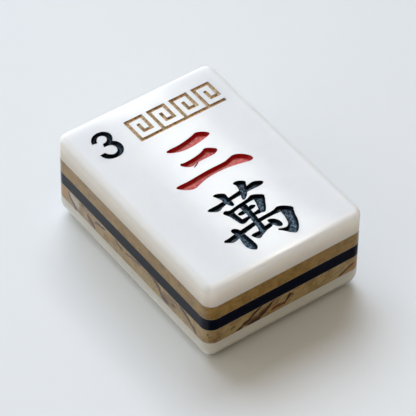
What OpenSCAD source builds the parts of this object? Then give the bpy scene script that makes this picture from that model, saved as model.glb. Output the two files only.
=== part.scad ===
// Mahjong tile: five layers of polished resin, bonded face to face by four thin films of adhesive and
// then cut, rounded and polished as one block. The tile lies on its back. +Y runs to the head of the face
// as it is read, +X to the reader's right, and +Z out of the face. The origin is the centre of the back.

/* [Block] */
// Length of the tile, from its foot to its head
tile_len = 30; // [24:0.5:42]
// Width of the tile
tile_w = 21.7; // [16:0.1:32]
// Radius of the four upright corners
corner_r = 1.4; // [0.8:0.1:2.4]

/* [Layers] */
// Thickness of the back slab
back_t = 3.2; // [2.8:0.05:6]
// Thickness of the veined layer, which lies on the back slab
veined_t = 2.05; // [0.6:0.05:5]
// Thickness of the dark stripe at mid-height
stripe_t = 1.75; // [0.4:0.05:4]
// Thickness of the plain tan layer, which lies under the face slab
tan_t = 1.95; // [0.6:0.05:5]
// Thickness of the face slab
face_t = 2.95; // [2.4:0.05:6]
// Thickness of each cured film of adhesive between two layers
bond_t = 0.05; // [0.02:0.01:0.15]

/* [Rolled edges] */
// Radius of the rolled edge round the face
face_edge_r = 0.8; // [0.4:0.1:2.4]
// Radius of the rolled edge round the back, which is wider than the corner arc that it turns about
back_edge_r = 2.2; // [0.4:0.1:2.8]

/* [Hidden] */
$fn = 64;

// A quarter turn, which each upright corner takes
quarter = 90;
// How far a cut runs past the faces that it opens
overrun = 0.1;

// The straight stretches of the outline, between its corner arcs
straight_len = tile_len - 2 * corner_r;
straight_w = tile_w - 2 * corner_r;

// A rolled edge is no deeper than the slab that carries it
face_roll_r = min(face_edge_r, face_t);
back_roll_r = min(back_edge_r, back_t);

// The height at which each piece lies on the one below
back_bond_z = back_t;
veined_z = back_bond_z + bond_t;
lower_bond_z = veined_z + veined_t;
stripe_z = lower_bond_z + bond_t;
upper_bond_z = stripe_z + stripe_t;
tan_z = upper_bond_z + bond_t;
face_bond_z = tan_z + tan_t;
face_z = face_bond_z + bond_t;

// What rolling takes off the top corner of a section that ends at x = side and y = t
module roll_cut(side, t, roll_r) {
    translate([side - roll_r, t - roll_r])
        difference() {
            square(roll_r + overrun);
            circle(roll_r);
        }
}

// Section of an upright corner, from the axis of its arc out to the wall
module corner_section(t, roll_r) {
    difference() {
        square([corner_r, t]);
        if (roll_r > 0) roll_cut(corner_r, t, roll_r);
    }
}

// The outline of the tile raised to height t: two crossing boxes, and a quarter turn at each corner
module upright_block(t, roll_r) {
    translate([-straight_w / 2, -tile_len / 2, 0]) cube([straight_w, tile_len, t]);
    translate([-tile_w / 2, -straight_len / 2, 0]) cube([tile_w, straight_len, t]);
    for (over = [0, 1], up = [0, 1])
        mirror([over, 0, 0])
            mirror([0, up, 0])
                translate([straight_w / 2, straight_len / 2, 0])
                    rotate_extrude(angle = quarter) corner_section(t, roll_r);
}

// A bar along Y with a flat base, both of its long top edges rolled
module rolled_bar(width, run, t, roll_r) {
    translate([0, run / 2, 0])
        rotate([quarter, 0, 0])
            linear_extrude(run)
                difference() {
                    translate([-width / 2, 0]) square([width, t]);
                    for (over = [0, 1]) mirror([over, 0]) roll_cut(width / 2, t, roll_r);
                }
}

// A layer whose top edge is rolled all round: a bar each way, and what they share with the outline
module rolled_layer(t, roll_r) {
    intersection() {
        upright_block(t, roll_r);
        rolled_bar(tile_w, tile_len, t, roll_r);
        rotate(quarter) rolled_bar(tile_len, tile_w, t, roll_r);
    }
}

// A layer with square edges
module flat_layer(t) {
    upright_block(t, 0);
}

// White slab with its rolled edge downwards, which the tile lies on
module back_slab() {
    color("white") translate([0, 0, back_t]) mirror([0, 0, 1]) rolled_layer(back_t, back_roll_r);
}

// Film of adhesive between the back slab and the veined layer
module back_bond() {
    color("wheat") translate([0, 0, back_bond_z]) flat_layer(bond_t);
}

// Tan resin marbled with brown veins
module veined_layer() {
    color("burlywood") translate([0, 0, veined_z]) flat_layer(veined_t);
}

// Film of adhesive under the dark stripe
module lower_stripe_bond() {
    color("wheat") translate([0, 0, lower_bond_z]) flat_layer(bond_t);
}

// Dark stripe at mid-height
module stripe_layer() {
    color("midnightblue") translate([0, 0, stripe_z]) flat_layer(stripe_t);
}

// Film of adhesive over the dark stripe
module upper_stripe_bond() {
    color("wheat") translate([0, 0, upper_bond_z]) flat_layer(bond_t);
}

// Plain tan resin
module tan_layer() {
    color("tan") translate([0, 0, tan_z]) flat_layer(tan_t);
}

// Film of adhesive between the tan layer and the face slab
module face_bond() {
    color("wheat") translate([0, 0, face_bond_z]) flat_layer(bond_t);
}

// White slab with its rolled edge upwards, whose top is the face that is read
module face_slab() {
    color("ivory") translate([0, 0, face_z]) rolled_layer(face_t, face_roll_r);
}

back_slab();
back_bond();
veined_layer();
lower_stripe_bond();
stripe_layer();
upper_stripe_bond();
tan_layer();
face_bond();
face_slab();
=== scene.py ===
import math

import bpy
import numpy as np
from mathutils import Matrix, Vector
from mathutils.geometry import delaunay_2d_cdt

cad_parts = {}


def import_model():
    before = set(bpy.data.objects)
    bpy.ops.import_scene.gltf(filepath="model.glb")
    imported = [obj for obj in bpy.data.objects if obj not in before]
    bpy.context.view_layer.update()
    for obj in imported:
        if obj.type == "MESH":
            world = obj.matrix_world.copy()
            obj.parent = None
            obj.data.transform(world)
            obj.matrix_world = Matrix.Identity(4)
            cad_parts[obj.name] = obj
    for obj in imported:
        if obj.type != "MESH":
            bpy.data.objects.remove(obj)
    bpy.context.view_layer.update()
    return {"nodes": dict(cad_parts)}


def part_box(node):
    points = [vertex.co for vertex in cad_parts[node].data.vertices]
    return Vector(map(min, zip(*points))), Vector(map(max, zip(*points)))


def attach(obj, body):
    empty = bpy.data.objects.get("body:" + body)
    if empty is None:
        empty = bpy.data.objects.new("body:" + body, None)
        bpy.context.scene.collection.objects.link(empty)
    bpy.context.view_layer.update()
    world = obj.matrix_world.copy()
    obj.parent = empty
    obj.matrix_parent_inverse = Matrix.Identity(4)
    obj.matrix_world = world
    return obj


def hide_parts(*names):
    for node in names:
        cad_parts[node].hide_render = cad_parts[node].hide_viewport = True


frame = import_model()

# Mahjong tile, lying on its back. Lengths are in millimetres in the tile's own frame, except where a value
# says metres: +X to the reader's right, +Y to the head of the face, +Z out of the face. MM turns them into
# Blender's metres.
MM = 0.001
BODY = "root"

# The face slab's box, from the frame, and the two radii that the frame doesn't hold
SLAB_LOW, SLAB_HIGH = (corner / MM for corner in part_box("face_slab"))
HALF_W, HALF_L = SLAB_HIGH.x, SLAB_HIGH.y
SEAM_Z, FACE_Z = SLAB_LOW.z, SLAB_HIGH.z
CORNER_R = 1.4
FACE_EDGE_R = 0.8

# Steps of a corner's arc, of the rolled edge's arc, and of a straight side
ARC_STEPS = 20
ROLL_STEPS = 14
STRAIGHT_STEPS = 12

# The carving. For each group of strokes: how steep its grooves start, how deep they may get, and how far
# the enamel spills over their edges.
GROOVES = {
    "index": {"steepness": 3.4, "depth": 0.48, "spill": 0.01},
    "ornament": {"steepness": 2.2, "depth": 0.30, "spill": 0.0},
    "numeral": {"steepness": 2.4, "depth": 0.54, "spill": 0.02},
    "suit": {"steepness": 3.4, "depth": 0.54, "spill": 0.02},
}
# How sharply a groove's wall turns into its floor, and the rounds that even the depth out
FLOOR_TURN = 2.6
EASING_ROUNDS = 1
# The enamel's surface lies at this share of the groove's depth, and its underside this far below the floor
COAT_SHARE = 0.93
COAT_BURIED = 0.02
# The carving's mesh: its step along an edge and over a floor, how far a floor's points stay off an edge, and
# how near two points are one
RIM_STEP = 0.06
FLOOR_STEP = 0.062
RIM_CLEARANCE = 0.03
SAME_POINT = 1e-5
# The search for the nearest edge goes by square cells and looks no farther than REACH
CELL = 0.8
REACH = 0.9

# Marks a point of an outline as a sharp corner
CORNER = 1

# The figure 3 in the head's left corner
INDEX_STROKES = [[
    (-8.26, 11.24, CORNER), (-8.02, 11.76), (-7.48, 12.28), (-6.78, 12.46), (-6.06, 12.28),
    (-5.62, 11.78), (-5.56, 11.24), (-5.8, 10.7), (-5.99, 10.46, CORNER), (-5.6, 10.05),
    (-5.42, 9.4), (-5.62, 8.7), (-6.18, 8.14), (-6.98, 7.98), (-7.8, 8.18), (-8.32, 8.72),
    (-8.47, 9.28, CORNER), (-7.78, 9.32, CORNER), (-7.6, 8.94), (-7.02, 8.58), (-6.44, 8.78),
    (-6.2, 9.36), (-6.4, 9.9), (-6.84, 10.1), (-7.32, 10.12, CORNER), (-7.18, 10.63, CORNER),
    (-6.72, 10.7), (-6.34, 11.02), (-6.28, 11.52), (-6.62, 11.85), (-7.1, 11.83), (-7.48, 11.5),
    (-7.63, 11.12, CORNER),
]]

# The three bars of the numeral, from the head downwards, and a slip of the graver under the second
NUMERAL_STROKES = [
    [
        (-2.02, 5.28), (-1.86, 5.44), (-0.27, 5.5), (1.0, 5.68), (1.9, 5.88), (2.46, 6.05),
        (3.1, 5.85), (3.62, 5.45), (3.8, 5.1), (3.55, 4.9), (2.45, 4.65), (0.64, 4.43),
        (-0.6, 4.55), (-1.5, 4.88),
    ],
    [
        (-1.94, 2.7), (-1.76, 2.92), (-1.5, 2.83), (-0.4, 2.84), (0.8, 3.0), (1.4, 3.18),
        (1.86, 3.38), (2.4, 3.15), (3.0, 2.52), (2.8, 2.26), (2.3, 2.07), (0.6, 2.05),
        (-0.3, 2.02), (-0.95, 1.86), (-1.4, 2.05), (-1.75, 2.38),
    ],
    [
        (-0.98, 1.5, CORNER), (-0.42, 1.7), (0.12, 2.06, CORNER), (-0.48, 1.85),
    ],
    [
        (-4.44, 0.0), (-4.28, 0.13), (-2.6, 0.16), (0.04, 0.34), (2.55, 0.37), (3.2, 0.53),
        (3.82, 0.67), (4.5, 0.48), (5.12, -0.02), (5.5, -0.6), (5.5, -1.02), (5.1, -1.16),
        (4.0, -0.94), (2.7, -0.67), (1.07, -0.54), (-0.6, -0.63), (-1.9, -0.96), (-2.66, -1.18),
        (-3.3, -1.04), (-4.1, -0.45),
    ],
]

# The strokes of the suit figure, in the order in which they are written
SUIT_STROKES = {
    "long stroke": [
        (-3.67, -4.93), (-3.5, -4.79), (-2.15, -4.73), (0.92, -4.34), (2.4, -4.17), (3.1, -4.05),
        (3.7, -4.22), (4.2, -4.64), (3.95, -4.92), (2.0, -4.96), (-0.6, -5.06), (-1.9, -5.38),
        (-2.62, -5.62), (-3.15, -5.4),
    ],
    "left crossing": [
        (-1.81, -3.36), (-1.52, -3.25), (-0.8, -3.52), (-0.49, -3.82), (-0.5, -4.3), (-0.53, -5.2),
        (-0.6, -5.68), (-0.78, -5.84), (-1.0, -5.72), (-1.33, -4.95), (-1.4, -4.3), (-1.66, -3.7),
    ],
    "right crossing": [
        (1.19, -3.06), (1.5, -2.92), (2.05, -3.05), (2.56, -3.5), (2.42, -3.8), (2.02, -4.55),
        (1.4, -5.38), (0.78, -5.76), (0.66, -5.64), (0.95, -4.8), (1.3, -3.8), (1.32, -3.42),
    ],
    "box left": [
        (-2.4, -6.4), (-1.9, -6.3), (-1.42, -6.6), (-1.36, -7.2), (-1.22, -8.1), (-1.1, -8.6),
        (-1.38, -8.79), (-1.68, -8.68), (-1.9, -8.05), (-2.12, -7.05),
    ],
    "box top": [
        (-2.48, -6.3), (-2.32, -6.06), (-2.0, -6.03), (-1.7, -6.2), (-0.31, -6.04), (1.1, -5.86),
        (1.83, -5.65), (2.55, -6.0), (3.02, -6.46), (2.66, -6.78), (2.2, -6.72), (1.7, -6.4),
        (0.54, -6.42), (-1.0, -6.62), (-1.6, -6.78), (-2.2, -6.7),
    ],
    "box right": [
        (2.4, -6.3), (2.9, -6.6), (2.45, -7.46), (1.98, -8.2), (1.62, -8.56), (1.28, -8.54),
        (1.06, -8.3), (1.24, -7.84), (1.56, -6.9), (1.72, -6.35),
    ],
    "box bar": [
        (-1.2, -7.29), (-0.95, -7.12), (0.3, -7.02), (0.84, -6.88), (1.27, -7.16), (1.02, -7.38),
        (0.4, -7.46), (-0.75, -7.6), (-1.08, -7.5),
    ],
    "box foot": [
        (-1.4, -8.2), (-0.46, -8.12), (0.6, -8.01), (1.3, -7.94), (1.5, -8.25), (1.2, -8.48),
        (0.38, -8.42), (-0.6, -8.54), (-1.35, -8.77),
    ],
    "frame left": [
        (-3.38, -8.96), (-3.24, -8.78), (-2.96, -8.75), (-2.58, -9.04), (-2.42, -9.45), (-2.34, -10.2),
        (-2.22, -11.7), (-2.27, -12.36), (-2.62, -12.73), (-3.0, -12.5), (-3.33, -11.9),
        (-3.35, -11.2), (-3.22, -10.3), (-3.3, -9.5),
    ],
    "frame top": [
        (-4.95, -9.86), (-4.83, -9.69), (-4.4, -9.66), (-3.35, -9.5), (-0.46, -9.17), (0.54, -9.05),
        (2.4, -8.96), (3.18, -8.77), (3.9, -9.12), (4.54, -9.84), (4.3, -10.18), (3.6, -10.05),
        (3.05, -9.66), (2.4, -9.56), (0.54, -9.57), (-1.4, -9.86), (-2.9, -10.16), (-3.7, -10.42),
        (-4.2, -10.42), (-4.65, -10.13),
    ],
    "frame right and hook": [
        (3.2, -9.4), (4.3, -9.7), (4.34, -10.2), (4.08, -10.85), (3.85, -11.62), (3.38, -12.48),
        (2.86, -13.03), (2.5, -13.18), (2.08, -12.86), (1.52, -12.18), (1.12, -11.7), (1.2, -11.6),
        (1.7, -11.8), (2.2, -11.86), (2.56, -11.62), (2.8, -11.06), (2.96, -10.3), (3.0, -9.8),
    ],
    "middle upright": [
        (-0.31, -6.45), (0.46, -6.45), (0.44, -7.2), (0.36, -8.6), (0.27, -9.6), (0.2, -10.4),
        (0.05, -10.9), (-0.4, -11.1), (-0.72, -10.8), (-0.58, -10.1), (-0.44, -9.0),
        (-0.34, -7.6),
    ],
    "inner foot": [
        (-1.88, -10.76), (-1.68, -10.62), (-0.69, -10.61), (0.4, -10.38), (1.0, -10.36),
        (1.08, -10.6), (0.92, -10.82), (0.0, -11.05), (-0.75, -11.34), (-1.25, -11.56),
        (-1.58, -11.36), (-1.8, -11.0),
    ],
    "inner dot": [
        (0.95, -9.88), (1.18, -9.81), (1.72, -10.08), (2.06, -10.66), (2.05, -11.22), (1.78, -11.44),
        (1.3, -11.1), (1.04, -10.5),
    ],
}

# The ornament beside the figure 3: squared spirals in a row, which one line along their foot joins
FRET_START = (-3.10, 8.62)
FRET_UNITS = 4
FRET_UNIT_STEPS = 3
FRET_STEP_X = 1.05
FRET_STEP_Y = 1.10
FRET_LINE_W = 0.44
FRET_SPIRAL_STEPS = [(0, 0), (0, 3), (2, 3), (2, 1), (1, 1), (1, 2)]

# The veined layer's veins. Each is a line along the tile's side. On the left side the first number runs from
# the foot to the head, and at the foot, which begins at SHORT_SIDE_START, from the left to the right. The
# right side and the head repeat them, turned by half a turn. The second number is the height. Before the
# line come its tint, strength and half width.
SHORT_SIDE_START = 40.0
LONG_SIDE_VEINS = [
    ("dark", 0.8, 0.13, [
        (-12.75, 3.7), (-12.0, 4.05), (-11.5, 4.4), (-10.9, 4.75), (-10.0, 5.1), (-9.2, 5.5),
    ]),
    ("dark", 0.8, 0.2, [(-12.8, 3.7), (-12.5, 3.85), (-12.15, 4.0)]),
    ("rust", 0.35, 0.45, [(-9.0, 4.3), (-7.6, 4.25), (-6.1, 4.3)]),
    ("dark", 0.6, 0.13, [(-8.75, 4.0), (-8.4, 4.1), (-8.05, 4.25)]),
    ("dark", 0.75, 0.14, [
        (-7.7, 3.68), (-6.7, 3.66), (-6.1, 3.9), (-5.8, 4.4), (-5.5, 4.75), (-4.6, 5.15),
        (-3.1, 5.42),
    ]),
    ("rust", 0.55, 0.22, [(-6.3, 4.2), (-5.2, 4.95), (-4.4, 5.2)]),
    ("rust", 0.55, 0.13, [(-2.6, 5.35), (-1.6, 5.15), (-0.8, 4.92), (0.4, 4.75), (1.2, 4.4)]),
    ("dark", 0.55, 0.14, [(1.4, 4.65), (2.2, 4.75), (3.1, 5.35)]),
    ("ochre", 0.6, 0.2, [(-1.55, 3.85), (-1.2, 3.9), (-0.85, 3.95)]),
    ("ochre", 0.55, 0.18, [(0.15, 3.85), (0.5, 3.9), (0.85, 4.0)]),
    ("ochre", 0.6, 0.22, [(3.6, 4.2), (4.0, 4.3), (4.4, 4.45)]),
    ("rust", 0.75, 0.14, [(4.9, 4.95), (5.8, 4.82), (6.5, 4.7), (7.3, 4.25)]),
    ("rust", 0.8, 0.24, [(6.9, 3.45), (7.4, 3.8), (8.0, 4.05), (8.8, 4.45)]),
    ("dark", 0.6, 0.16, [(9.2, 4.95), (9.55, 5.05), (9.95, 5.25)]),
    ("pale", 0.5, 0.5, [(10.1, 4.4), (11.2, 4.6), (12.3, 4.8)]),
    ("dark", 0.8, 0.12, [(10.75, 3.3), (11.3, 3.7), (11.8, 4.1), (12.2, 4.5), (12.55, 5.15)]),
    ("dark", 0.7, 0.16, [(10.7, 3.4), (11.0, 3.45), (11.3, 3.55)]),
    ("ochre", 0.6, 0.9, [(12.2, 4.3), (13.3, 4.4), (14.6, 4.4)]),
    ("rust", 0.6, 0.16, [(-15.2, 5.1), (-14.8, 4.75), (-14.4, 4.4)]),
]
SHORT_SIDE_VEINS = [
    ("dark", 0.4, 0.14, [(-7.7, 4.1), (-7.3, 4.2), (-6.9, 4.3)]),
    ("dark", 0.8, 0.14, [
        (-7.1, 3.42), (-6.3, 3.5), (-5.75, 3.9), (-5.2, 4.05), (-4.6, 4.62), (-4.1, 4.9),
        (-3.3, 5.42),
    ]),
    ("dark", 0.95, 0.19, [
        (-5.5, 3.42), (-4.5, 3.38), (-3.9, 3.45), (-3.5, 3.85), (-2.9, 4.15), (-2.4, 4.6),
        (-1.8, 5.15),
    ]),
    ("rust", 0.6, 0.3, [(-5.9, 3.7), (-4.8, 3.75), (-3.6, 4.1), (-2.6, 4.75)]),
    ("rust", 0.85, 0.16, [
        (-2.3, 3.6), (-1.2, 3.95), (-0.2, 3.85), (0.15, 4.25), (0.55, 4.7), (1.1, 4.35),
    ]),
    ("dark", 0.9, 0.15, [(-0.1, 4.0), (0.3, 4.45), (0.75, 4.9)]),
    ("ochre", 0.7, 0.28, [(-2.6, 3.95), (-1.0, 3.8), (0.1, 3.9)]),
    ("ochre", 0.4, 0.25, [(1.5, 4.9), (2.0, 5.0), (2.5, 5.05)]),
    ("rust", 0.75, 0.12, [(7.3, 3.3), (8.1, 3.65), (9.0, 4.1), (9.9, 4.45)]),
    ("ochre", 0.6, 0.45, [(8.6, 3.6), (9.7, 3.9), (10.8, 4.2)]),
]

# The veins' tints, in the order in which they are laid over each other
VEIN_TINTS = {
    "pale": (0.500, 0.450, 0.380),
    "ochre": (0.400, 0.215, 0.070),
    "rust": (0.120, 0.044, 0.018),
    "dark": (0.045, 0.016, 0.006),
}
BLUSH_TINT = (0.260, 0.150, 0.085)
# A vein fades out at VEIN_SPREAD half widths, and is full within a share of that. The gain is on its
# strength, and the end rate on how fast it widens from its tips.
VEIN_SPREAD = 2.4
VEIN_CORE_SHARE = 0.12
VEIN_GAIN = 1.55
VEIN_END_RATE = 7.0
VEIN_LEAST_RISE = 0.01
VEIN_LEAST_EDGE = 0.001
# How far the veins wander along the side, over what size, and the share of that by which they rise
VEIN_WANDER = 0.35
VEIN_WANDER_SIZE = 0.6
VEIN_RISE_SHARE = 0.5
# The fine veins' slant, and how wide they are for their length
FINE_VEIN_LEAN = math.radians(27)
FINE_VEIN_STRETCH = 0.22

# How far the long sides' looks run round a corner into those of the ends
CORNER_EASE = 0.5

# The depths below the face at which the painted sheen on the enamel's floors starts, and is full: a paler
# colour there stands in for the glossy reflection of the window's glow
PAINTED_SHEEN_START = 0.41
PAINTED_SHEEN_FULL = 0.48

# The camera, solved from the photograph's silhouette and seams. Its clipping distances are in metres.
CAMERA_AZIMUTH = math.radians(-36.69)
CAMERA_ELEVATION = math.radians(45.92)
CAMERA_ROLL = math.radians(1.10)
CAMERA_DISTANCE = 367.16
CAMERA_SIDEWAYS = 0.10
CAMERA_UPWARDS = 4.40
CAMERA_LENS = 274.25
CAMERA_SENSOR = 36.0
CAMERA_CLIP_START = 0.01
CAMERA_CLIP_END = 20.0

# The table reaches this many metres from the tile, and its faint clouds are of this size
FLOOR_REACH = 2.0
FLOOR_CLOUD = 60.0

# The soft lamps' tints
DAYLIGHT_TINT = (0.79, 0.885, 1.03)
SIDE_TINT = (1.0, 0.98, 0.94)
TOP_TINT = (1.0, 0.99, 0.95)

# The strip lamps whose reflection lies along the face: where it crosses the face, their height and width
STRIP_BAND_X = 1.8
STRIP_Z = 92.1
STRIP_W = 9.0
STRIP_TINT = (1.0, 0.97, 0.90)

# The world: its even light, what gloss sees of it, and what the camera sees. TOP and FOOT are heights of
# directions, and BACK and FRONT how far they lean to the window's side, from -1 to 1.
FILL = 0.24
FILL_TINT = (1.17, 0.97, 0.68)
ROOM_GLOW = 0.012
WINDOW_GLOW = 2.8
WINDOW_TINT = (0.58, 0.88, 1.16)
WINDOW_LEAN = -0.6
WINDOW_TOP = 0.95
WINDOW_FOOT = 0.80
WINDOW_BACK = -0.1
WINDOW_FRONT = 0.8
BACKGROUND_TINT = (0.94, 0.97, 1.0)


def outline(inset):
    """Outline of the tile drawn in by inset, anticlockwise, with the same points for every inset."""
    radius = CORNER_R - inset
    reach_x, reach_y = HALF_W - CORNER_R, HALF_L - CORNER_R
    signs = [(1, 1), (-1, 1), (-1, -1), (1, -1)]
    corners = []
    for quarter, (sx, sy) in enumerate(signs):
        arc = []
        for step in range(ARC_STEPS + 1):
            angle = (quarter + step / ARC_STEPS) * math.pi / 2
            arc.append((sx * reach_x + radius * math.cos(angle), sy * reach_y + radius * math.sin(angle)))
        corners.append(arc)
    points = []
    for quarter, arc in enumerate(corners):
        points += arc
        start, end = arc[-1], corners[(quarter + 1) % len(corners)][0]
        for step in range(1, STRAIGHT_STEPS):
            share = step / STRAIGHT_STEPS
            points.append(tuple(a + (b - a) * share for a, b in zip(start, end)))
    return points


def knot(start, end):
    """How far apart two points lie along a centripetal curve's parameter."""
    return math.sqrt(math.dist(start, end))


def blend_points(a, b, t, t_a, t_b):
    """The point between a and b that belongs to parameter t."""
    share = (t - t_a) / (t_b - t_a)
    return tuple(u + (v - u) * share for u, v in zip(a, b))


def brush_edge(points):
    """Closed curve through the points of a stroke's outline, sampled every RIM_STEP and broken at corners."""
    curve = []
    count = len(points)
    for i in range(count):
        before, start, end, after = (points[(i + k) % count] for k in (-1, 0, 1, 2))
        p0, p1, p2, p3 = before[:2], start[:2], end[:2], after[:2]
        if CORNER in start[2:]:
            p0 = tuple(2 * a - b for a, b in zip(p1, p2))
        if CORNER in end[2:]:
            p3 = tuple(2 * b - a for a, b in zip(p1, p2))
        t0 = 0.0
        t1 = t0 + knot(p0, p1)
        t2 = t1 + knot(p1, p2)
        t3 = t2 + knot(p2, p3)
        steps = max(1, round(math.dist(p1, p2) / RIM_STEP))
        for step in range(steps):
            t = t1 + (t2 - t1) * step / steps
            a1 = blend_points(p0, p1, t, t0, t1)
            a2 = blend_points(p1, p2, t, t1, t2)
            a3 = blend_points(p2, p3, t, t2, t3)
            b1 = blend_points(a1, a2, t, t0, t2)
            b2 = blend_points(a2, a3, t, t1, t3)
            curve.append(blend_points(b1, b2, t, t1, t2))
    return curve


def line_outline(path, width):
    """Outline of an even line along straight stretches, with mitred bends and square ends."""
    half = width / 2
    points = [Vector(p) for p in path]
    runs = [(b - a).normalized() for a, b in zip(points, points[1:])]
    left, right = [], []
    for i, point in enumerate(points):
        run_in = runs[max(i - 1, 0)]
        run_out = runs[min(i, len(runs) - 1)]
        side = Vector((-run_in.y, run_in.x)) + Vector((-run_out.y, run_out.x))
        side *= 2 * half / side.length_squared
        tip = Vector((0, 0))
        if i == 0:
            tip = -run_out * half
        if i == len(points) - 1:
            tip = run_in * half
        left.append((*(point + side + tip), CORNER))
        right.append((*(point - side + tip), CORNER))
    return left + right[::-1]


def fret_strokes():
    """The ornament's outlines: one spiral for each unit, and the line that joins them."""
    x, y = FRET_START
    unit_w = FRET_UNIT_STEPS * FRET_STEP_X
    strokes = []
    for unit in range(FRET_UNITS):
        left = x + unit * unit_w
        path = [(left + a * FRET_STEP_X, y + b * FRET_STEP_Y) for a, b in FRET_SPIRAL_STEPS]
        strokes.append(line_outline(path, FRET_LINE_W))
    end = x + (FRET_UNITS * FRET_UNIT_STEPS - 1) * FRET_STEP_X
    strokes.append(line_outline([(x, y), (end, y)], FRET_LINE_W))
    return strokes


def segment_distance(points, starts, ends):
    """Distance from each point to the nearest of the segments."""
    along = ends - starts
    length_squared = (along ** 2).sum(1)
    x, y = (points[:, i, None] for i in (0, 1))
    share = ((x - starts[:, 0]) * along[:, 0] + (y - starts[:, 1]) * along[:, 1]) / length_squared
    share = np.clip(share, 0, 1)
    gap_x = starts[:, 0] + share * along[:, 0] - x
    gap_y = starts[:, 1] + share * along[:, 1] - y
    return np.sqrt((gap_x ** 2 + gap_y ** 2).min(1))


def nearest_distance(points, starts, ends):
    """Distance to the nearest segment, cell by cell. Beyond REACH it is given as REACH or more."""
    found = np.full(len(points), REACH)
    cells = np.floor(points / CELL).astype(int)
    order = np.lexsort((cells[:, 1], cells[:, 0]))
    breaks = np.flatnonzero(np.any(np.diff(cells[order], axis=0), axis=1)) + 1
    middle = (starts + ends) / 2
    for group in np.split(order, breaks):
        centre = (cells[group[0]] + 0.5) * CELL
        near = np.abs(middle - centre).max(1) < CELL / 2 + REACH + RIM_STEP
        if near.any():
            found[group] = segment_distance(points[group], starts[near], ends[near])
    return found


def anticlockwise(loop):
    """The loop, turned to run anticlockwise."""
    area = sum(a[0] * b[1] - b[0] * a[1] for a, b in zip(loop, loop[1:] + loop[:1]))
    return loop if area > 0 else loop[::-1]


def spread(loop, width):
    """The anticlockwise loop, drawn outwards by the width that the enamel spreads over its edge."""
    moved = []
    for before, point, after in zip(loop[-1:] + loop[:-1], loop, loop[1:] + loop[:1]):
        run = (Vector(after) - Vector(before)).normalized()
        moved.append((point[0] + run.y * width, point[1] - run.x * width))
    return moved


def inside(points, loop):
    """Which of the points lie inside a closed loop."""
    x, y = points[:, 0], points[:, 1]
    result = np.zeros(len(points), bool)
    for (ax, ay), (bx, by) in zip(loop, np.roll(loop, -1, 0)):
        if ay == by:
            continue
        crosses = (ay > y) != (by > y)
        result ^= crosses & (x < ax + (y - ay) * (bx - ax) / (by - ay))
    return result


def floor_points(loops):
    """Points in a triangular grid inside a group of strokes, clear of every outline."""
    outlines = [np.array(loop) for loop in loops]
    everything = np.concatenate(outlines)
    low, high = everything.min(0), everything.max(0)
    row_step = FLOOR_STEP * math.sqrt(3) / 2
    rows = np.arange(low[1], high[1], row_step)
    grid = []
    for row, y in enumerate(rows):
        shift = FLOOR_STEP / 2 if row % 2 else 0
        for x in np.arange(low[0] + shift, high[0], FLOOR_STEP):
            grid.append((x, y))
    grid = np.array(grid)
    kept = np.zeros(len(grid), bool)
    for loop in outlines:
        kept |= inside(grid, loop)
    grid = grid[kept]
    starts = everything
    ends = np.concatenate([np.roll(loop, -1, 0) for loop in outlines])
    return grid[nearest_distance(grid, starts, ends) > RIM_CLEARANCE]


def ease(values, pairs, fixed, rounds):
    """Evens the values out over neighbours, and leaves the fixed ones as they are."""
    values = values.copy()
    count = np.zeros(len(values))
    np.add.at(count, pairs[:, 0], 1)
    np.add.at(count, pairs[:, 1], 1)
    free = ~fixed & (count > 0)
    for _ in range(rounds):
        total = np.zeros(len(values))
        np.add.at(total, pairs[:, 0], values[pairs[:, 1]])
        np.add.at(total, pairs[:, 1], values[pairs[:, 0]])
        values[free] = (values[free] + total[free] / count[free]) / 2
    return values


class Carving:
    """The flat of the face cut into triangles that follow every stroke, with the depth at each point."""

    def __init__(self, groups):
        rim = outline(FACE_EDGE_R)
        points = [Vector(p) for p in rim]
        polygons = [list(range(len(rim)))]
        owner = [None]
        for name, strokes in groups.items():
            loops = [spread(anticlockwise(brush_edge(stroke)), GROOVES[name]["spill"]) for stroke in strokes]
            for loop in loops:
                first = len(points)
                points += [Vector(p) for p in loop]
                polygons.append(list(range(first, len(points))))
                owner.append(name)
            points += [Vector(p) for p in floor_points(loops)]
        found = delaunay_2d_cdt(points, [], polygons, 1, SAME_POINT, True)
        self.points = np.array(found[0])
        self.triangles = [list(triangle) for triangle in found[2]]
        self.groups = [next((owner[i] for i in faces if owner[i]), None) for faces in found[5]]
        place = {old: new for new, olds in enumerate(found[3]) for old in olds}
        self.rim = [place[i] for i in range(len(rim))]
        self.measure()

    def measure(self):
        """Depth of the groove and of the enamel's surface at each point."""
        sides = {}
        for triangle, group in zip(self.triangles, self.groups):
            for a, b in zip(triangle, triangle[1:] + triangle[:1]):
                sides.setdefault((min(a, b), max(a, b)), []).append(group)
        self.stroke_rim = {edge for edge, found in sides.items() if len(found) == 2 and len(set(found)) == 2}
        edges = np.array(sorted(self.stroke_rim))
        carved = sorted({i for t, group in zip(self.triangles, self.groups) if group for i in t})
        distance = np.zeros(len(self.points))
        distance[carved] = nearest_distance(
            self.points[carved], self.points[edges[:, 0]], self.points[edges[:, 1]]
        )
        fixed = np.ones(len(self.points), bool)
        fixed[carved] = False
        fixed[edges.ravel()] = True
        distance[fixed] = 0
        slope, deepest = np.ones(len(self.points)), np.ones(len(self.points))
        for triangle, group in zip(self.triangles, self.groups):
            if group:
                slope[triangle] = GROOVES[group]["steepness"]
                deepest[triangle] = GROOVES[group]["depth"]
        reach = slope * distance / deepest
        cut = deepest * reach / (1 + reach ** FLOOR_TURN) ** (1 / FLOOR_TURN)
        pairs = np.array([edge for edge, found in sides.items() if any(found)])
        self.groove = ease(cut, pairs, fixed, EASING_ROUNDS)
        self.coat = self.groove * COAT_SHARE


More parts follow.
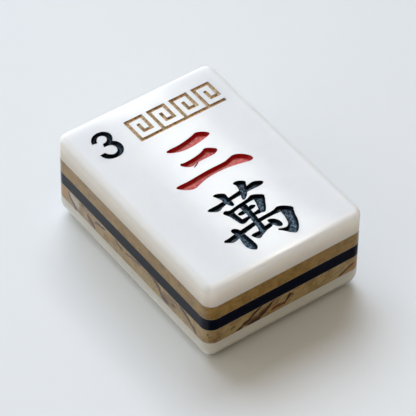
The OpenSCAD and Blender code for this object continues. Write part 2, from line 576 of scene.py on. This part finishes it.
def add_piece(name, vertices, faces, material, sharp=()):
    """A mesh piece from points in millimetres, which rides on the tile."""
    mesh = bpy.data.meshes.new(name)
    mesh.from_pydata([tuple(c * MM for c in v) for v in vertices], [], faces)
    mesh.polygons.foreach_set("use_smooth", [True] * len(mesh.polygons))
    if sharp:
        for edge in mesh.edges:
            if tuple(sorted(edge.vertices)) in sharp:
                edge.use_edge_sharp = True
    mesh.materials.append(material)
    mesh.update()
    piece = bpy.data.objects.new(name, mesh)
    bpy.context.scene.collection.objects.link(piece)
    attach(piece, BODY)
    return piece


def ring_edges(ring):
    """The edges round a closed ring of vertices."""
    return {(min(a, b), max(a, b)) for a, b in zip(ring, ring[1:] + ring[:1])}


def carved_face(carving, material):
    """The face slab: carved flat, rolled edge, upright side and flat base, as one closed mesh."""
    vertices = [(x, y, FACE_Z - depth) for (x, y), depth in zip(carving.points, carving.groove)]
    faces = [list(t) for t in carving.triangles]
    sharp = set(carving.stroke_rim)
    levels = []
    for step in range(1, ROLL_STEPS + 1):
        angle = step / ROLL_STEPS * math.pi / 2
        inset = FACE_EDGE_R * (1 - math.sin(angle))
        levels.append((inset, FACE_Z - FACE_EDGE_R * (1 - math.cos(angle))))
    levels.append((0, SEAM_Z))
    ring = carving.rim
    for inset, z in levels:
        first = len(vertices)
        vertices += [(x, y, z) for x, y in outline(inset)]
        below = list(range(first, len(vertices)))
        for i in range(len(ring)):
            j = (i + 1) % len(ring)
            faces.append([ring[i], below[i], below[j], ring[j]])
        ring = below
    sharp |= ring_edges(ring)
    centre = len(vertices)
    vertices.append((0, 0, SEAM_Z))
    for i in range(len(ring)):
        faces.append([ring[i], centre, ring[(i + 1) % len(ring)]])
    piece = add_piece("face_slab_carved", vertices, faces, material, sharp)
    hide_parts("face_slab")


def enamel(carving, group, name, material):
    """The enamel in one group of strokes: a closed shell on the floor of the grooves."""
    triangles = [t for t, g in zip(carving.triangles, carving.groups) if g == group]
    used = sorted({i for t in triangles for i in t})
    top = {old: new for new, old in enumerate(used)}
    low = {old: new + len(used) for new, old in enumerate(used)}
    points, coat, groove = carving.points, carving.coat, carving.groove
    vertices = [(*points[i], FACE_Z - coat[i]) for i in used]
    vertices += [(*points[i], FACE_Z - groove[i] - COAT_BURIED) for i in used]
    faces = [[top[i] for i in t] for t in triangles]
    faces += [[low[i] for i in reversed(t)] for t in triangles]
    sharp = set()
    for triangle in triangles:
        for a, b in zip(triangle, triangle[1:] + triangle[:1]):
            if (min(a, b), max(a, b)) in carving.stroke_rim:
                faces.append([top[b], top[a], low[a], low[b]])
                sharp.add(tuple(sorted((top[a], top[b]))))
                sharp.add(tuple(sorted((low[a], low[b]))))
    add_piece(name, vertices, faces, material, sharp)


# The colour sockets of a Mix node: its two inputs and its output
MIX_FIRST, MIX_SECOND, MIX_RESULT = 6, 7, 2
# The range in which most of a noise lies
MOST_NOISE = (0.3, 0.7)


class Graph:
    """A node tree, built up from short calls, whose values are numbers, colours or sockets."""

    def __init__(self, tree):
        self.tree = tree
        tree.nodes.clear()

    def node(self, kind, **settings):
        """A new node, with its settings."""
        made = self.tree.nodes.new(kind)
        for key, value in settings.items():
            setattr(made, key, value)
        return made

    def feed(self, target, value):
        """Gives a socket a value, or links it to another socket."""
        if isinstance(value, bpy.types.NodeSocket):
            self.tree.links.new(value, target)
        else:
            target.default_value = value

    def fill(self, made, *values):
        """Feeds a node's sockets in turn, from the first."""
        for socket, value in zip(made.inputs, values):
            self.feed(socket, value)

    def math(self, operation, *values, clamp=False):
        """A sum on numbers or sockets."""
        made = self.node("ShaderNodeMath", operation=operation, use_clamp=clamp)
        self.fill(made, *values)
        return made.outputs[0]

    def times(self, first, second, clamp=False):
        """The product."""
        return self.math("MULTIPLY", first, second, clamp=clamp)

    def minus(self, first, second):
        """The difference."""
        return self.math("SUBTRACT", first, second)

    def between(self, value, low, high, to_low=0.0, to_high=1.0):
        """The value's place between low and high, eased at both ends, as a number from to_low to to_high."""
        made = self.node("ShaderNodeMapRange", interpolation_type="SMOOTHSTEP")
        self.fill(made, value, low, high, to_low, to_high)
        return made.outputs["Result"]

    def mix(self, share, first, second, blend_type="MIX"):
        """Colour between two colours."""
        made = self.node("ShaderNodeMix", data_type="RGBA", blend_type=blend_type)
        self.feed(made.inputs["Factor"], share)
        self.feed(made.inputs[MIX_FIRST], first)
        self.feed(made.inputs[MIX_SECOND], second)
        return made.outputs[MIX_RESULT]

    def axes(self, place):
        """The three coordinates of a place."""
        made = self.node("ShaderNodeSeparateXYZ")
        self.feed(made.inputs[0], place)
        return made.outputs

    def curve(self, value, points):
        """The height over value of a smooth curve through the points, all between 0 and 1."""
        made = self.node("ShaderNodeFloatCurve")
        drawn = made.mapping.curves[0]
        drawn.points[0].location = points[0]
        drawn.points[1].location = points[-1]
        for point in points[1:-1]:
            drawn.points.new(*point)
        made.mapping.update()
        self.feed(made.inputs["Value"], value)
        return made.outputs["Value"]

    def light(self, tint, strength):
        """The light of a background."""
        made = self.node("ShaderNodeBackground")
        self.fill(made, rgb(*tint), strength)
        return made.outputs[0]

    def either(self, share, first, second):
        """Light between two lights."""
        made = self.node("ShaderNodeMixShader")
        self.fill(made, share, first, second)
        return made.outputs[0]


class Paint(Graph):
    """A node material, built up around one Principled shader."""

    def __init__(self, name, **sockets):
        self.material = bpy.data.materials.new(name)
        self.material.use_nodes = True
        super().__init__(self.material.node_tree)
        output = self.node("ShaderNodeOutputMaterial")
        self.shader = self.node("ShaderNodeBsdfPrincipled")
        self.feed(output.inputs["Surface"], self.shader.outputs["BSDF"])
        for socket, value in sockets.items():
            self.set(socket.replace("_", " "), value)
        self.place = self.node("ShaderNodeTexCoord").outputs["Object"]

    def set(self, socket, value):
        """Gives one of the shader's sockets its value."""
        self.feed(self.shader.inputs[socket], value)

    def stretched(self, scale, turn):
        """The place on the tile, turned and stretched."""
        made = self.node("ShaderNodeMapping")
        for socket, value in (("Vector", self.place), ("Scale", scale), ("Rotation", turn)):
            self.feed(made.inputs[socket], value)
        return made.outputs["Vector"]

    def noise(self, size, detail=3.0, roughness=0.5, distortion=0.0, place=None):
        """Noise from 0 to 1 with features of about that size."""
        made = self.node("ShaderNodeTexNoise")
        self.feed(made.inputs["Vector"], place or self.place)
        self.feed(made.inputs["Scale"], 1 / (size * MM))
        self.feed(made.inputs["Detail"], detail)
        self.feed(made.inputs["Roughness"], roughness)
        self.feed(made.inputs["Distortion"], distortion)
        return made.outputs["Fac"]

    def cloud(self, size, detail=4.0, roughness=0.55, distortion=0.6):
        """Soft clouds from 0 to 1 of about that size."""
        return self.between(self.noise(size, detail, roughness, distortion), *MOST_NOISE)

    def millimetres(self):
        """The place's three coordinates on the tile."""
        return [self.math("DIVIDE", axis, MM) for axis in self.axes(self.place)]

    def insets(self):
        """How far the place lies in from the long sides, and from the ends."""
        across, along, _ = self.millimetres()
        inset_x = self.minus(HALF_W, self.math("ABSOLUTE", across))
        inset_y = self.minus(HALF_L, self.math("ABSOLUTE", along))
        return inset_x, inset_y

    def long_side(self):
        """Share from 0 to 1: 1 on the tile's long sides, 0 at its ends, and eased round the corners."""
        inset_x, inset_y = self.insets()
        return self.between(self.minus(inset_y, inset_x), -CORNER_EASE, CORNER_EASE)

    def bump(self, height, depth):
        """Bumps the surface by a height from 0 to 1, which stands for that depth."""
        made = self.node("ShaderNodeBump")
        made.inputs["Strength"].default_value = 1.0
        made.inputs["Distance"].default_value = depth * MM
        self.feed(made.inputs["Height"], height)
        self.set("Normal", made.outputs["Normal"])


def rgb(red, green, blue):
    """A colour in linear light."""
    return (red, green, blue, 1.0)


def polish(paint, rough, rough_range, wave):
    """Polished resin: roughness that varies a little, and the faint waviness that buffing leaves."""
    smear_size, fine_size, buffed_size = 1.6, 0.12, 3.0
    smear_share, fine_bump_share = 0.7, 0.03
    smear = paint.noise(smear_size, detail=4.0, roughness=0.6)
    fine = paint.noise(fine_size, detail=2.0)
    mixed = paint.times(fine, 1 - smear_share)
    mixed = paint.math("MULTIPLY_ADD", smear, smear_share, mixed)
    paint.set("Roughness", paint.between(mixed, *MOST_NOISE, rough - rough_range, rough + rough_range))
    buffed = paint.noise(buffed_size, detail=1.0)
    paint.bump(paint.math("MULTIPLY_ADD", fine, fine_bump_share, buffed), wave)


def ends_duller(paint, sides, ends):
    """Gives the resin one strength of gloss on the long sides, and less at the ends, which were sawn."""
    strength = paint.between(paint.long_side(), 0.0, 1.0, ends, sides)
    paint.set("Specular IOR Level", strength)


def face_resin():
    """White resin, slightly clouded, in which light spreads forwards.

    Its sides are painted warmer and a little paler than its face: painted light, for the glow that
    scatters out of the resin. Towards the seam they are painted darker and warmer still: painted shade, where
    less of that light reaches, with the tan layer's tint showing through. Its rolled edge is painted paler,
    as a painted highlight, and grey again along the long sides, as painted shade.
    """
    paint = Paint(
        "face_resin", Subsurface_Weight=1.0, Subsurface_Radius=(0.95, 0.88, 0.8), IOR=1.5,
        Subsurface_Anisotropy=0.7, Specular_IOR_Level=0.2,
    )
    cloud_size = 5.0
    # The heights, or distances in from the outline, where each change starts and is full
    side_heights = (FACE_Z, FACE_Z - 1.5)
    painted_seam_shade_heights = (SEAM_Z + 2.0, SEAM_Z)
    painted_edge_insets = (1.1, 0.4)
    painted_edge_shade_heights = (FACE_Z - 1.1, FACE_Z - 0.4)
    spread_insets = (2.6, 0.9)
    spread_heights = (SEAM_Z + 0.1, SEAM_Z + 1.7)
    painted_seam_shade_share, painted_edge_shade_shares = 0.8, (0.5, 1.15)
    # How far light spreads in the resin, in metres: at least, and how much more near the edge
    least_reach, more_reach = 0.0003, 0.0024

    cloud = paint.cloud(cloud_size)
    _, _, height = paint.millimetres()
    inset_x, inset_y = paint.insets()
    inset = paint.math("MINIMUM", inset_x, inset_y)
    near_edge = paint.between(inset, *spread_insets)
    off_seam = paint.between(height, *spread_heights)
    reach = paint.math("MULTIPLY_ADD", paint.times(near_edge, off_seam), more_reach, least_reach)
    paint.set("Subsurface Scale", reach)

    top = paint.mix(cloud, rgb(0.80, 0.81, 0.82), rgb(0.78, 0.79, 0.805))
    # Painted highlight: the colour is paler near the outline, over the rolled edge
    top = paint.mix(paint.between(inset, *painted_edge_insets), top, rgb(0.87, 0.865, 0.855))
    # Painted light: the side's colour is warmer and a little paler than the face's, for the glow that
    # scatters out of the resin
    side = paint.mix(cloud, rgb(0.87, 0.825, 0.755), rgb(0.84, 0.79, 0.72))
    # Painted shade: darker and warmer towards the seam, where less of that light reaches, with the tan
    # layer's tint showing through
    painted_seam_shade = paint.between(height, *painted_seam_shade_heights, 0.0, painted_seam_shade_share)
    side = paint.mix(painted_seam_shade, side, rgb(0.72, 0.66, 0.58))
    resin = paint.mix(paint.between(height, *side_heights), top, side)
    # Painted shade: along the long sides the rolled edge is greyed again, most near the face
    rolled = paint.times(paint.long_side(), paint.between(inset_x, *painted_edge_insets))
    painted_edge_shade = paint.times(rolled, paint.between(height, *painted_edge_shade_heights, *painted_edge_shade_shares))
    paint.set("Base Color", paint.mix(painted_edge_shade, resin, rgb(0.84, 0.84, 0.84), "MULTIPLY"))
    polish(paint, rough=0.12, rough_range=0.03, wave=0.004)
    return paint.material


def back_resin():
    """White resin of the back. Low down it is paler on the long sides, as painted light, and darker at the
    ends, as painted shade.
    """
    paint = Paint(
        "back_resin", Subsurface_Weight=0.8, Subsurface_Radius=(1.0, 0.9, 0.8), Subsurface_Scale=0.0014,
        IOR=1.5,
    )
    ends_duller(paint, sides=0.52, ends=0.3)
    cloud_size = 4.5
    foot_heights = (2.4, 0.8)
    white = paint.mix(paint.cloud(cloud_size), rgb(0.67, 0.64, 0.565), rgb(0.63, 0.60, 0.53))
    # Painted light and shade at the foot: paler on the long sides, darker at the ends
    foot = paint.mix(paint.long_side(), rgb(0.57, 0.54, 0.47), rgb(0.88, 0.86, 0.80))
    _, _, height = paint.millimetres()
    paint.set("Base Color", paint.mix(paint.between(height, *foot_heights), white, foot))
    polish(paint, rough=0.2, rough_range=0.05, wave=0.006)
    return paint.material


def tan_resin():
    """Tan resin with ochre mottling and fine brown specks."""
    paint = Paint("tan_resin", IOR=1.5, Subsurface_Weight=0.06, Subsurface_Scale=0.0004)
    ends_duller(paint, sides=0.56, ends=0.2)
    mottle_size, grain_size, speck_size = 1.5, 0.22, 0.11
    mottle_range, grain_range, speck_range = (0.32, 0.68), (0.42, 0.66), (0.60, 0.70)
    speck_share = 0.7
    mottle = paint.noise(mottle_size, detail=5.0, roughness=0.6, distortion=0.8)
    grain = paint.noise(grain_size, detail=3.0, roughness=0.65)
    speck = paint.noise(speck_size, detail=1.0, roughness=0.4)
    mottling = paint.between(mottle, *mottle_range)
    tan = paint.mix(mottling, rgb(0.315, 0.198, 0.042), rgb(0.17, 0.104, 0.015))
    tan = paint.mix(paint.between(grain, *grain_range), tan, rgb(0.36, 0.165, 0.02))
    specks = paint.between(speck, *speck_range, 0.0, speck_share)
    paint.set("Base Color", paint.mix(specks, tan, rgb(0.16, 0.085, 0.04)))
    polish(paint, rough=0.2, rough_range=0.05, wave=0.005)
    return paint.material


def side_lines(paint):
    """Where the place lies along the tile's sides, and its height, both with the veins' wander."""
    across, along, height = paint.millimetres()
    inset_x, inset_y = paint.insets()
    on_side = paint.math("LESS_THAN", inset_x, inset_y)
    on_end = paint.minus(1.0, on_side)
    side_run = paint.times(along, paint.times(paint.math("SIGN", across), -1.0))
    end_run = paint.times(across, paint.times(paint.math("SIGN", along), -1.0))
    end_run = paint.math("ADD", end_run, SHORT_SIDE_START)
    run = paint.math("ADD", paint.times(side_run, on_side), paint.times(end_run, on_end))
    wander = paint.noise(VEIN_WANDER_SIZE, detail=4.0, roughness=0.6)
    wander = paint.math("MULTIPLY_ADD", wander, 2 * VEIN_WANDER, -VEIN_WANDER)
    return paint.math("ADD", run, wander), paint.math("MULTIPLY_ADD", wander, VEIN_RISE_SHARE, height)


def vein(paint, run, height, half_width, points):
    """Share from 0 to 1 of a vein: full on its line, faded out beside it, with tapered ends."""
    start, end = points[0][0], points[-1][0]
    heights = [z for _, z in points]
    low = min(heights)
    rise = max(max(heights) - low, VEIN_LEAST_RISE)
    place = paint.math("DIVIDE", paint.minus(run, start), end - start)
    line = paint.curve(place, [((u - start) / (end - start), (z - low) / rise) for u, z in points])
    line = paint.math("MULTIPLY_ADD", line, rise, low)
    slope = (heights[-1] - heights[0]) / (end - start)
    gap = paint.math("ABSOLUTE", paint.minus(height, line))
    gap = paint.math("DIVIDE", gap, VEIN_SPREAD * half_width * math.hypot(1, slope))
    taper = paint.times(paint.minus(1.0, place), place, clamp=True)
    taper = paint.times(taper, VEIN_END_RATE, clamp=True)
    edge = paint.math("MAXIMUM", taper, VEIN_LEAST_EDGE)
    return paint.between(gap, edge, paint.times(taper, VEIN_CORE_SHARE))


def fine_veins(paint, tan, run, height):
    """Hair-thin veins, in patches, which run the way of the large ones."""
    ridge_size, patch_size = 0.75, 1.7
    ridge_middle, ridge_range, patch_range = 0.5, (0.035, 0.008), (0.44, 0.6)
    vein_share, blush_share = 0.75, 0.2
    lean_c, lean_s = math.cos(FINE_VEIN_LEAN), math.sin(FINE_VEIN_LEAN)
    onward = paint.math("MULTIPLY_ADD", height, lean_s, paint.times(run, lean_c))
    upward = paint.math("MULTIPLY_ADD", height, lean_c, paint.times(run, -lean_s))
    made = paint.node("ShaderNodeCombineXYZ")
    paint.fill(made, paint.times(onward, FINE_VEIN_STRETCH * MM), paint.times(upward, MM))
    place = made.outputs[0]
    ridge = paint.noise(ridge_size, detail=4.0, roughness=0.6, distortion=0.5, place=place)
    ridge = paint.math("ABSOLUTE", paint.minus(ridge, ridge_middle))
    patch = paint.between(paint.noise(patch_size, detail=2.0, place=place), *patch_range)
    share = paint.times(paint.between(ridge, *ridge_range), patch)
    blush = paint.mix(paint.times(patch, blush_share), tan, rgb(*BLUSH_TINT))
    return paint.mix(paint.times(share, vein_share), blush, rgb(*VEIN_TINTS["rust"]))


def veined_resin():
    """Tan resin marbled with brown veins, which show at its four sides."""
    paint = Paint("veined_resin", IOR=1.5, Subsurface_Weight=0.06, Subsurface_Scale=0.0004)
    ends_duller(paint, sides=0.58, ends=0.12)
    mottle_size, grain_size, break_size = 1.8, 0.5, 0.45
    mottle_range, grain_range, break_range = (0.32, 0.68), (0.5, 0.75), (0.30, 0.46)
    grain_share, least_unbroken_share = 0.5, 0.6
    mottle = paint.noise(mottle_size, detail=5.0, roughness=0.6, distortion=0.8)
    slanted = paint.stretched(scale=(1, 1, 2.2), turn=(0.5, -0.5, 0))
    grain = paint.noise(grain_size, detail=4.0, roughness=0.6, place=slanted)
    mottling = paint.between(mottle, *mottle_range)
    tan = paint.mix(mottling, rgb(0.42, 0.302, 0.127), rgb(0.28, 0.184, 0.066))
    tan = paint.mix(paint.between(grain, *grain_range, 0.0, grain_share), tan, rgb(0.27, 0.165, 0.075))
    run, height = side_lines(paint)
    tan = fine_veins(paint, tan, run, height)
    broken = paint.noise(break_size, detail=3.0, roughness=0.6)
    broken = paint.between(broken, *break_range, least_unbroken_share, 1.0)
    veins = list(LONG_SIDE_VEINS)
    for tint, strength, half_width, points in SHORT_SIDE_VEINS:
        veins.append((tint, strength, half_width, [(u + SHORT_SIDE_START, z) for u, z in points]))
    veins.sort(key=lambda found: list(VEIN_TINTS).index(found[0]))
    for tint, strength, half_width, points in veins:
        share = paint.times(broken, VEIN_GAIN * strength)
        share = paint.times(vein(paint, run, height, half_width, points), share, clamp=True)
        tan = paint.mix(share, tan, rgb(*VEIN_TINTS[tint]))
    paint.set("Base Color", tan)
    polish(paint, rough=0.2, rough_range=0.05, wave=0.005)
    return paint.material


def stripe_resin():
    """Very dark navy resin, whose long sides shine more than its ends."""
    paint = Paint("stripe_resin", IOR=1.5)
    ends_duller(paint, sides=0.12, ends=0.015)
    cloud_size = 0.9
    cloud = paint.cloud(cloud_size, roughness=0.6, distortion=0.0)
    paint.set("Base Color", paint.mix(cloud, rgb(0.001, 0.002, 0.007), rgb(0.002, 0.004, 0.013)))
    polish(paint, rough=0.16, rough_range=0.05, wave=0.005)
    return paint.material


def adhesive():
    """Cured amber film."""
    paint = Paint("cured_adhesive", IOR=1.48)
    cloud_size = 0.8
    smoothest, roughest = 0.18, 0.3
    cloud = paint.noise(cloud_size, detail=3.0)
    paint.set("Base Color", paint.mix(cloud, rgb(0.30, 0.22, 0.13), rgb(0.36, 0.27, 0.17)))
    paint.set("Roughness", paint.between(cloud, *MOST_NOISE, smoothest, roughest))
    return paint.material


def enamel_paint(name, dark, light, painted_sheen, patch_ease, rough, shine, metallic=0.0):
    """Enamel, brushed on: streaks in its colour, an uneven skin, and a patchy painted sheen on the deep
    floors.
    """
    paint = Paint(name, Metallic=metallic, IOR=1.6, Specular_IOR_Level=shine)
    streak_size, skin_size, skin_depth = 0.35, 0.34, 0.1
    # The skin's height at the middle of a patch's edge, and how the streaks' roughness varies
    patch_edge, rough_range, smoother, rougher = 0.55, (0.25, 0.75), 0.05, 0.08
    streak = paint.noise(streak_size, detail=4.0, roughness=0.6, distortion=0.4)
    colour = paint.mix(paint.between(streak, *MOST_NOISE), dark, light)
    skin = paint.noise(skin_size, detail=3.0, roughness=0.7)
    _, _, height = paint.millimetres()
    on_floor = paint.between(height, FACE_Z - PAINTED_SHEEN_START, FACE_Z - PAINTED_SHEEN_FULL)
    painted_sheen_patches = paint.between(skin, patch_edge - patch_ease, patch_edge + patch_ease)
    # Painted reflection: the deep floors take a paler colour in patches, which stands in for a sheen
    paint.set("Base Color", paint.mix(paint.times(painted_sheen_patches, on_floor), colour, painted_sheen))
    paint.set("Roughness", paint.between(streak, *rough_range, rough - smoother, rough + rougher))
    paint.bump(skin, skin_depth)
    return paint.material


def paint_node(node, material):
    """Gives a CAD node its material."""
    mesh = frame["nodes"][node].data
    mesh.materials.clear()
    mesh.materials.append(material)


def direction(azimuth, elevation):
    """Unit vector from the tile to a place that is seen from the foot at azimuth 0, from the right at 90."""
    level = math.cos(elevation)
    return Vector((math.sin(azimuth) * level, -math.cos(azimuth) * level, math.sin(elevation)))


def place_in_scene(name, data, location, turn):
    """A camera or lamp at that location, in metres, turned by a matrix."""
    made = bpy.data.objects.new(name, data)
    made.matrix_world = Matrix.Translation(location) @ turn.to_4x4()
    bpy.context.scene.collection.objects.link(made)
    return made


def camera():
    """The photograph's camera."""
    back = direction(CAMERA_AZIMUTH, CAMERA_ELEVATION)
    level = Vector((math.cos(CAMERA_AZIMUTH), math.sin(CAMERA_AZIMUTH), 0))
    upright = back.cross(level)
    c, s = math.cos(CAMERA_ROLL), math.sin(CAMERA_ROLL)
    right = c * level + s * upright
    up = -s * level + c * upright
    place = back * CAMERA_DISTANCE + right * CAMERA_SIDEWAYS + up * CAMERA_UPWARDS
    data = bpy.data.cameras.new("camera")
    data.lens = CAMERA_LENS
    data.sensor_width = CAMERA_SENSOR
    data.clip_start = CAMERA_CLIP_START
    data.clip_end = CAMERA_CLIP_END
    turn = Matrix((right, up, back)).transposed()
    bpy.context.scene.camera = place_in_scene("camera", data, place * MM, turn)


def floor():
    """A plain pale table."""
    corners = [(-1, -1), (1, -1), (1, 1), (-1, 1)]
    mesh = bpy.data.meshes.new("floor")
    mesh.from_pydata([(x * FLOOR_REACH, y * FLOOR_REACH, 0) for x, y in corners], [], [[0, 1, 2, 3]])
    paint = Paint("floor", Roughness=0.5)
    cloud = paint.noise(FLOOR_CLOUD, detail=2.0)
    paint.set("Base Color", paint.mix(cloud, rgb(0.74, 0.755, 0.765), rgb(0.76, 0.775, 0.785)))
    mesh.materials.append(paint.material)
    made = bpy.data.objects.new("floor", mesh)
    bpy.context.scene.collection.objects.link(made)


def lamp(name, azimuth, elevation, distance, width, height, power, tint):
    """A soft lamp that faces the tile and makes no highlights. Angles are in degrees, lengths in metres."""
    data = bpy.data.lights.new(name, "AREA")
    data.shape = "ELLIPSE"
    data.size = width
    data.size_y = height
    data.energy = power
    data.color = tint
    back = direction(math.radians(azimuth), math.radians(elevation))
    turn = (-back).to_track_quat("-Z", "Y").to_matrix()
    made = place_in_scene(name, data, back * distance, turn)
    made.visible_glossy = False


def strip(name, x, low_y, high_y, glow):
    """A narrow strip lamp that runs the tile's way. Only gloss sees it, as a bright band on the face.

    The glow is its power for each metre of length.
    """
    length = high_y - low_y
    data = bpy.data.lights.new(name, "AREA")
    data.shape = "RECTANGLE"
    data.size = STRIP_W * MM
    data.size_y = length * MM
    data.energy = glow * length * MM
    data.color = STRIP_TINT
    place = Vector((x, (low_y + high_y) / 2, STRIP_Z))
    along = Vector((0, 1, 0))
    back = Vector((x - STRIP_BAND_X, 0, STRIP_Z - FACE_Z)).normalized()
    turn = Matrix((along.cross(back), along, back)).transposed()
    made = place_in_scene(name, data, place * MM, turn)
    made.visible_diffuse = False


def world():
    """Even warm light all round and a plain pale background.

    Gloss sees neither of them, but a dim room and a window's glow, low over the head and the left side.
    """
    made = bpy.data.worlds.new("world")
    made.use_nodes = True
    graph = Graph(made.node_tree)
    rays = graph.node("ShaderNodeLightPath").outputs
    across, along, height = graph.axes(graph.node("ShaderNodeTexCoord").outputs["Generated"])
    low = graph.between(height, WINDOW_TOP, WINDOW_FOOT)
    ahead = graph.math("MULTIPLY_ADD", across, WINDOW_LEAN, along)
    ahead = graph.between(ahead, WINDOW_BACK, WINDOW_FRONT)
    glow = graph.math("MULTIPLY_ADD", graph.times(low, ahead), WINDOW_GLOW, ROOM_GLOW)
    lit = graph.either(rays["Is Glossy Ray"], graph.light(FILL_TINT, FILL), graph.light(WINDOW_TINT, glow))
    direct = graph.math("MAXIMUM", rays["Is Camera Ray"], rays["Is Transmission Ray"])
    shown = graph.either(direct, lit, graph.light(BACKGROUND_TINT, 1.0))
    graph.feed(graph.node("ShaderNodeOutputWorld").inputs["Surface"], shown)
    bpy.context.scene.world = made


def dress_layers():
    """Materials of the CAD nodes that stay."""
    film = adhesive()
    paint_node("back_slab", back_resin())
    paint_node("veined_layer", veined_resin())
    paint_node("stripe_layer", stripe_resin())
    paint_node("tan_layer", tan_resin())
    for node in ("back_bond", "lower_stripe_bond", "upper_stripe_bond", "face_bond"):
        paint_node(node, film)


def carve_and_paint():
    """The carved face slab, and the enamel in each group of strokes."""
    carving = Carving({
        "index": INDEX_STROKES,
        "ornament": fret_strokes(),
        "numeral": NUMERAL_STROKES,
        "suit": list(SUIT_STROKES.values()),
    })
    carved_face(carving, face_resin())
    dark = enamel_paint(
        "dark_enamel", dark=rgb(0.0005, 0.001, 0.002), light=rgb(0.0015, 0.003, 0.006),
        painted_sheen=rgb(0.132, 0.203, 0.278), patch_ease=0.2, rough=0.18, shine=0.12,
    )
    red = enamel_paint(
        "red_enamel", dark=rgb(0.25, 0.0006, 0.0006), light=rgb(0.45, 0.002, 0.002),
        painted_sheen=rgb(1.0, 0.29, 0.26), patch_ease=0.5, rough=0.20, shine=0.2,
    )
    gold = enamel_paint(
        "gold_enamel", dark=rgb(0.19, 0.10, 0.034), light=rgb(0.62, 0.39, 0.21),
        painted_sheen=rgb(0.60, 0.40, 0.22), patch_ease=0.3, rough=0.32, shine=0.3, metallic=0.6,
    )
    enamel(carving, "index", "enamel_index", dark)
    enamel(carving, "ornament", "enamel_ornament", gold)
    enamel(carving, "numeral", "enamel_numeral", red)
    enamel(carving, "suit", "enamel_suit", dark)


camera()
floor()
world()
lamp(
    "key", azimuth=164, elevation=53.5, distance=2.0, width=2.2, height=1.2, power=32.1, tint=DAYLIGHT_TINT,
)
lamp(
    "low key", azimuth=168, elevation=28, distance=2.0, width=2.0, height=0.8, power=8.5,
    tint=DAYLIGHT_TINT,
)
lamp(
    "side fill", azimuth=-116, elevation=29, distance=1.2, width=1.7, height=1.3, power=4.0,
    tint=SIDE_TINT,
)
lamp("top fill", azimuth=-20, elevation=68, distance=1.2, width=0.8, height=0.8, power=1.15, tint=TOP_TINT)
strip("strip along the flat", x=48, low_y=35, high_y=122, glow=0.32)
strip("strip over the rolled edge", x=40, low_y=-64, high_y=20, glow=0.64)
dress_layers()
carve_and_paint()
bpy.context.scene.view_settings.view_transform = "Standard"
